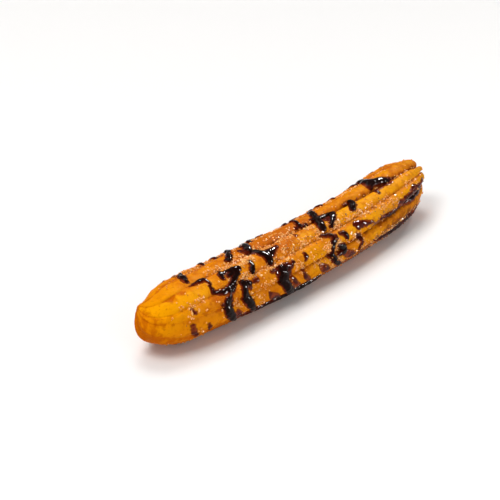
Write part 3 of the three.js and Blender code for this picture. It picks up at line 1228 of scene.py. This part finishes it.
@dataclass
class SaucePiece:
    """The sauce as one closed shell.

    Its top is the skin plus the sauce's thickness, and dips under the skin past each run's edge. Its
    underside lies inside the dough, and a wall joins the two where the layer ends, all out of sight.
    """

    skin: DoughSkin
    drizzle: Drizzle
    near_steps: int = 40
    body_steps: int = 390
    far_steps: int = 40
    steps_per_ridge: int = 40
    sunk: float = 0.30
    underside: float = 0.75

    def build(self) -> Piece:
        """Makes and dresses the piece."""
        rings = stations(self.near_steps, self.body_steps, self.far_steps)[1:-1]
        columns = self.skin.ridges * self.steps_per_ridge
        station, turn = np.meshgrid(rings, np.arange(columns) / self.steps_per_ridge, indexing="ij")
        patch = self.skin.smooth(station, turn)
        sauce = self.drizzle.over(patch)
        cells = self._cells(sauce.thickness)
        used = self._corners(cells)
        number = np.full(used.shape, -1)
        number[used] = np.arange(used.sum())
        top = self._top(station[used], turn[used], sauce.thickness[used], patch.cut[used])
        depth = np.maximum(sauce.thickness[used], 0.0) * ramp(sauce.inside[used], -0.2, 0.9)
        floor = self.skin.surface(station[used], turn[used], -self.underside).point
        faces = self._faces(cells, number, int(used.sum()))
        values = {"depth": np.concatenate([depth, depth])}
        piece = write_mesh("chocolate_sauce", np.vstack([top, floor]), faces, values)
        dress(piece, ChocolateSauce())
        return piece

    def _top(self, station: Array, turn: Array, thickness: Array, cut: Array) -> Array:
        """The top's points. Thick sauce fills most of a crease that it crosses."""
        lift = np.maximum(thickness, -self.sunk)
        lift = lift + 0.85 * cut * ramp(thickness, 0.15, 1.1)
        return self.skin.surface(station, turn, lift).point

    def _cells(self, thickness: Array) -> Array:
        """The grid cells that hold sauce, with cells that touch only at a corner joined up."""
        wet = thickness > -self.sunk
        wet = wet | np.roll(wet, -1, axis=1)
        cells = wet[:-1] | wet[1:]
        for _ in range(6):
            right = np.roll(cells, -1, axis=1)
            a, b, c, d = cells[:-1], right[:-1], cells[1:], right[1:]
            crossing = (a & d & ~b & ~c) | (b & c & ~a & ~d)
            if not crossing.any():
                break
            cells = cells.copy()
            cells[:-1] |= crossing
            cells[1:] |= crossing
            cells[:-1] |= np.roll(crossing, 1, axis=1)
            cells[1:] |= np.roll(crossing, 1, axis=1)
        return cells

    @staticmethod
    def _corners(cells: Array) -> Array:
        """The grid points that are a corner of some cell."""
        used = np.zeros((cells.shape[0] + 1, cells.shape[1]), bool)
        for along_by in (0, 1):
            for round_by in (0, 1):
                used[along_by : along_by + cells.shape[0]] |= np.roll(cells, round_by, axis=1)
        return used

    @staticmethod
    def _faces(cells: Array, number: Array, count: int) -> list[Array]:
        """Top quads, the same quads turned over below them, and walls where a cell has no neighbour."""
        ring, column = np.nonzero(cells)
        following = (column + 1) % cells.shape[1]
        a, b = number[ring, column], number[ring, following]
        c, d = number[ring + 1, following], number[ring + 1, column]
        top = np.stack([a, b, c, d], axis=-1)
        below = np.stack([d, c, b, a], axis=-1) + count
        beside = np.pad(cells, ((1, 1), (0, 0)))
        open_sides = (
            (~beside[ring, column], a, b),
            (~cells[ring, following], b, c),
            (~beside[ring + 2, column], c, d),
            (~cells[ring, (column - 1) % cells.shape[1]], d, a),
        )
        walls = [
            np.stack([start, start + count, end + count, end], axis=-1)[is_open]
            for is_open, start, end in open_sides
        ]
        return [np.vstack([top, below, *walls])]


def random_turns(rng: np.random.Generator, count: int) -> Array:
    """Random turns in space, as matrices, from random unit quaternions."""
    w, x, y, z = unit(rng.normal(size=(count, 4))).T
    return np.stack(
        [
            np.stack([1 - 2 * (y * y + z * z), 2 * (x * y - z * w), 2 * (x * z + y * w)], -1),
            np.stack([2 * (x * y + z * w), 1 - 2 * (x * x + z * z), 2 * (y * z - x * w)], -1),
            np.stack([2 * (x * z - y * w), 2 * (y * z + x * w), 1 - 2 * (x * x + y * y)], -1),
        ],
        -2,
    )


def crystal_shape() -> Shape:
    """A crystal of width 1: a cube cut back at its corners until the cuts meet.

    Its 12 corners are the middles of a cube's edges. Those on one side of the cube make a square, and the
    three round each of its corners a triangle.

    Returns:
        The points, and the faces as a quad array and a triangle array.
    """
    points = np.array([[x, y, z] for x in (-1, 0, 1) for y in (-1, 0, 1) for z in (-1, 0, 1)], float) / 2
    points = points[np.abs(points).sum(axis=1) == 1.0]
    quads = [np.nonzero(points[:, axis] == side)[0] for axis in range(3) for side in (-0.5, 0.5)]
    corners = np.array(np.meshgrid([-0.5, 0.5], [-0.5, 0.5], [-0.5, 0.5])).T.reshape(-1, 3)
    triangles = [np.nonzero(points @ corner == 0.5)[0] for corner in corners]
    return points, [facing_out(points, quads), facing_out(points, triangles)]


def facing_out(points: Array, faces: list[Array]) -> Array:
    """Orders each face's corners so that, seen from outside a round shape at the origin, they turn left."""
    ordered = []
    for face in faces:
        middle = points[face].mean(axis=0)
        out = middle / np.linalg.norm(middle)
        side = points[face[0]] - middle
        other = np.cross(out, side)
        spokes = points[face] - middle
        ordered.append(face[np.argsort(np.arctan2(spokes @ other, spokes @ side))])
    return np.array(ordered)


def grain_shape() -> Shape:
    """A rough grain of width 1: an icosahedron."""
    golden = (1 + math.sqrt(5)) / 2
    points = []
    for axis in range(3):
        for a in (-1, 1):
            for b in (-golden, golden):
                corner = [0.0, 0.0, 0.0]
                corner[(axis + 1) % 3] = a
                corner[(axis + 2) % 3] = b
                points.append(corner)
    points = np.array(points)
    apart = np.linalg.norm(points[:, None] - points[None], axis=-1)
    near = (apart > 0.1) & (apart < 2.1)
    triangles = [
        np.array([a, b, c])
        for a in range(12)
        for b in range(a + 1, 12)
        for c in range(b + 1, 12)
        if near[a, b] and near[b, c] and near[a, c]
    ]
    points = points / (2 * golden)
    return points, [facing_out(points, triangles)]


# Where sugar clings: along the upper creases, in a heap near the near end and on the sticky patches.
SUGAR_BANDS = (
    Run(((14, 37, 1.2), (20, 35, 1.5), (28, 36, 1.2)), weight=3.0),
    Run(((19, 33, 2.2), (18.5, 20, 2.4), (18, 4, 1.6)), weight=2.6),
    Run(((40, 82, 1.4), (47, 80, 1.4)), weight=1.6),
    Run(((50, 77, 1.4), (57, 73, 2.4), (64, 71, 2.4), (68, 68, 1.4)), weight=4.5),
    Run(((60, 83, 1.6), (66, 79, 1.8)), weight=3.0),
    Run(((74, 77, 1.6), (84, 76, 2.0), (96, 78, 2.0), (112, 75, 1.8)), weight=3.6),
    Run(((74, 84, 1.2), (95, 87, 1.4), (113, 86, 1.2)), weight=2.4),
    Run(((48, 46, 1.2), (58, 41, 1.4), (72, 38, 2.0), (84, 39, 1.8)), weight=4.0),
    Run(((78, 44, 1.4), (88, 49, 2.0), (98, 50, 2.2), (112, 50, 1.8)), weight=3.8),
    Run(((112, 55, 1.4), (120, 53, 1.6), (128, 50, 1.6)), weight=3.6),
    Run(((128, 53, 1.8), (140, 49, 1.8), (151, 44, 1.8)), weight=3.4),
    Run(((151, 43, 2.0), (162, 40, 2.2), (176, 36, 2.2)), weight=2.3),
    Run(((184, 43, 1.6), (194, 37, 1.8)), weight=2.0),
    Run(((47, 8, 1.4), (50, -2, 1.6), (54, -18, 1.6)), weight=2.0),
    Run(((60, 15, 2.0), (64, 4, 2.2), (67, -12, 2.0)), weight=2.0),
    Run(((66, 12, 1.4), (75, 8, 1.4)), weight=1.8),
    Run(((88, 30, 2.0), (92, 16, 2.2), (95, 4, 2.0)), weight=1.9),
    Run(((100, 15, 2.4), (107, 2, 2.4)), weight=1.9),
    Run(((113, 20, 2.0), (121, 22, 2.4), (119, 8, 2.6), (115, -6, 2.2)), weight=3.6),
    Run(((112, -8, 2.2), (122, -20, 2.8), (134, -30, 2.8)), weight=2.8),
    Run(((130, 16, 1.8), (136, 12, 2.2), (141, -16, 2.6)), weight=2.8),
    Run(((90, 68, 1.6), (97, 64, 2.0), (100, 58, 1.6)), weight=1.2),
    Run(((160, 12, 1.2), (180, 14, 1.8), (198, 18, 1.6)), weight=1.6),
    Run(((150, -16, 2.0), (170, -24, 2.6), (190, -30, 2.4)), weight=1.5),
    Run(((150, -38, 1.6), (175, -42, 2.6), (198, -40, 2.2)), weight=1.4),
    Run(((176, 72, 1.2), (190, 66, 1.4), (202, 64, 1.0)), weight=1.4),
    Run(((30, 121, 1.8), (100, 121, 1.8), (180, 112, 1.6)), weight=2.4),
    Run(((20, 160, 2.0), (100, 161, 2.2), (190, 154, 2.0)), weight=2.2),
    Run(((40, 202, 2.4), (110, 202, 2.4), (180, 200, 2.4)), weight=1.4),
)

CINNAMON_BANDS = (
    Run(((60, 81, 1.4), (85, 84, 1.6), (116, 82, 1.4)), weight=0.9),
    Run(((56, 42, 1.6), (90, 45, 2.0), (138, 54, 1.8), (172, 34, 1.8)), weight=0.9),
    Run(((150, 18, 1.6), (178, 16, 2.4), (198, 22, 2.0)), weight=4.0),
    Run(((150, -14, 1.6), (170, -22, 3.0), (188, -26, 2.4)), weight=4.0),
    Run(((130, -38, 2.0), (165, -46, 3.6), (200, -42, 2.4)), weight=5.0),
    Run(((60, -50, 2.0), (100, -58, 3.0), (140, -52, 3.0)), weight=1.6),
    Run(((30, 121, 1.8), (100, 121, 2.0), (180, 112, 1.6)), weight=1.8),
    Run(((20, 160, 1.8), (100, 161, 2.2), (190, 154, 2.0)), weight=1.8),
    Run(((20, 200, 2.4), (100, 202, 3.0), (190, 200, 2.6)), weight=2.0),
)


# ---- Studio ----


@dataclass(frozen=True)
class SoftLight:
    """A square soft light: the way it stands from the churro, its distance and width in metres and its power.

    A light for gloss only is mirrored in the wet sauce and adds nothing to matt surfaces.
    """

    azimuth: float
    elevation: float
    distance: float
    width: float
    power: float
    gloss_only: bool = False


@dataclass
class Studio:
    """A pale floor, soft lights and the camera."""

    azimuth: float = -48.41
    elevation: float = 28.3
    distance: float = 1.425
    lens: float = 205.2
    aim_height: float = 0.016
    aside: Place = (-0.01992, 0.00071)
    floor_width: float = 6.0
    floor_colour: Colour = (0.86, 0.85, 0.84)
    sky: Colour = (1.0, 0.99, 0.98)
    sky_strength: float = 0.32
    lights: tuple[SoftLight, ...] = (
        SoftLight(-95, 60, 1.3, 0.60, 9.5),
        SoftLight(-10, 30, 1.3, 0.60, 3.0),
        SoftLight(98, 40, 1.3, 0.15, 38.0, gloss_only=True),
        SoftLight(42, 12, 1.2, 0.13, 30.0, gloss_only=True),
        SoftLight(150, 65, 1.4, 0.70, 8.0),
    )

    def build(self) -> None:
        """Makes the floor, the lights, the sky and the camera."""
        self._floor()
        self._sky()
        for number, light in enumerate(self.lights):
            self._light(f"soft_light_{number}", light)
        self._camera()
        bpy.context.scene.view_settings.view_transform = "Standard"

    @staticmethod
    def _toward(azimuth: float, elevation: float) -> Vector:
        """The unit vector from the churro at an azimuth, 0 at -Y and turning to +X, and an elevation."""
        a, e = math.radians(azimuth), math.radians(elevation)
        return Vector((math.sin(a) * math.cos(e), -math.cos(a) * math.cos(e), math.sin(e)))

    @staticmethod
    def _facing(location: Vector, target: Vector) -> Matrix:
        """The placement of something at a location that looks at a target, with its top up."""
        turn = (target - location).to_track_quat("-Z", "Y").to_matrix().to_4x4()
        return Matrix.Translation(location) @ turn

    def _floor(self) -> None:
        """A wide plain floor at the height that the churro rests on."""
        half = self.floor_width / 2 / MM
        corners = np.array([[-half, -half, 0.0], [half, -half, 0.0], [half, half, 0.0], [-half, half, 0.0]])
        floor = write_mesh("floor", corners, [np.array([[0, 1, 2, 3]])], {})
        material = bpy.data.materials.new("floor")
        material.use_nodes = True
        sheet = NodeSheet(material.node_tree)
        shader = sheet.add("BsdfPrincipled", {"Base Color": self.floor_colour, "Roughness": 0.6})
        sheet.put(shader.inputs["Specular IOR Level"], 0.2)
        Finish.close(sheet, shader)
        floor.data.materials.append(material)

    def _sky(self) -> None:
        """An even pale sky: full white to the camera, and dimmer as a light."""
        world = bpy.data.worlds.new("sky")
        bpy.context.scene.world = world
        world.use_nodes = True
        sheet = NodeSheet(world.node_tree)
        seen = sheet.add("LightPath").outputs["Is Camera Ray"]
        limits = {"Value": seen, "To Min": self.sky_strength, "To Max": 1.0}
        strength = sheet.add("MapRange", limits).outputs[0]
        sky = sheet.add("Background", {"Color": self.sky, "Strength": strength})
        sheet.add("OutputWorld", {"Surface": sky.outputs[0]})

    def _light(self, name: str, light: SoftLight) -> None:
        """Hangs a soft light so that it faces the churro."""
        data = bpy.data.lights.new(name, "AREA")
        data.shape = "SQUARE"
        data.size = light.width
        data.energy = light.power
        lamp = bpy.data.objects.new(name, data)
        lamp.visible_diffuse = not light.gloss_only
        bpy.context.scene.collection.objects.link(lamp)
        place = self._toward(light.azimuth, light.elevation) * light.distance
        lamp.matrix_world = self._facing(place, Vector())

    def _camera(self) -> None:
        """Puts the camera at its viewing angle, and turns it a little aside of the churro."""
        back = self._toward(self.azimuth, self.elevation)
        a = math.radians(self.azimuth)
        right = Vector((math.cos(a), math.sin(a), 0.0))
        up = back.cross(right)
        centre = Vector((0.0, 0.0, self.aim_height))
        target = centre + right * self.aside[0] + up * self.aside[1]
        data = bpy.data.cameras.new("camera")
        data.lens = self.lens
        data.sensor_width = 36.0
        camera = bpy.data.objects.new("camera", data)
        bpy.context.scene.collection.objects.link(camera)
        camera.matrix_world = self._facing(centre + back * self.distance, target)
        bpy.context.scene.camera = camera


def main() -> None:
    """Builds the pieces in order and logs each."""
    logging.basicConfig(level=logging.INFO, format="%(name)s: %(message)s")
    skin = DoughSkin().on_packed_box()
    drizzle = Drizzle()
    sugar = Scatter(skin, drizzle, "sugar_crystals", SUGAR_BANDS, 3400, (0.34, 0.96), 0.12, 0.07, 23)
    cinnamon = Scatter(skin, drizzle, "cinnamon_grains", CINNAMON_BANDS, 3200, (0.22, 0.62), 0.03, 0.15, 29)
    makers: tuple[Callable[[], Piece], ...] = (
        DoughStick(skin, drizzle, sugar).build,
        SaucePiece(skin, drizzle).build,
        lambda: sugar.build(crystal_shape(), SugarCrystal(), 0.30),
        lambda: cinnamon.build(grain_shape(), Cinnamon(), 0.35),
    )
    for make in makers:
        piece = make()
        triangles = sum(len(polygon.vertices) - 2 for polygon in piece.data.polygons)
        log.info("%s: %d triangles", piece.name, triangles)
    Studio().build()


if __name__ == "__main__":
    main()
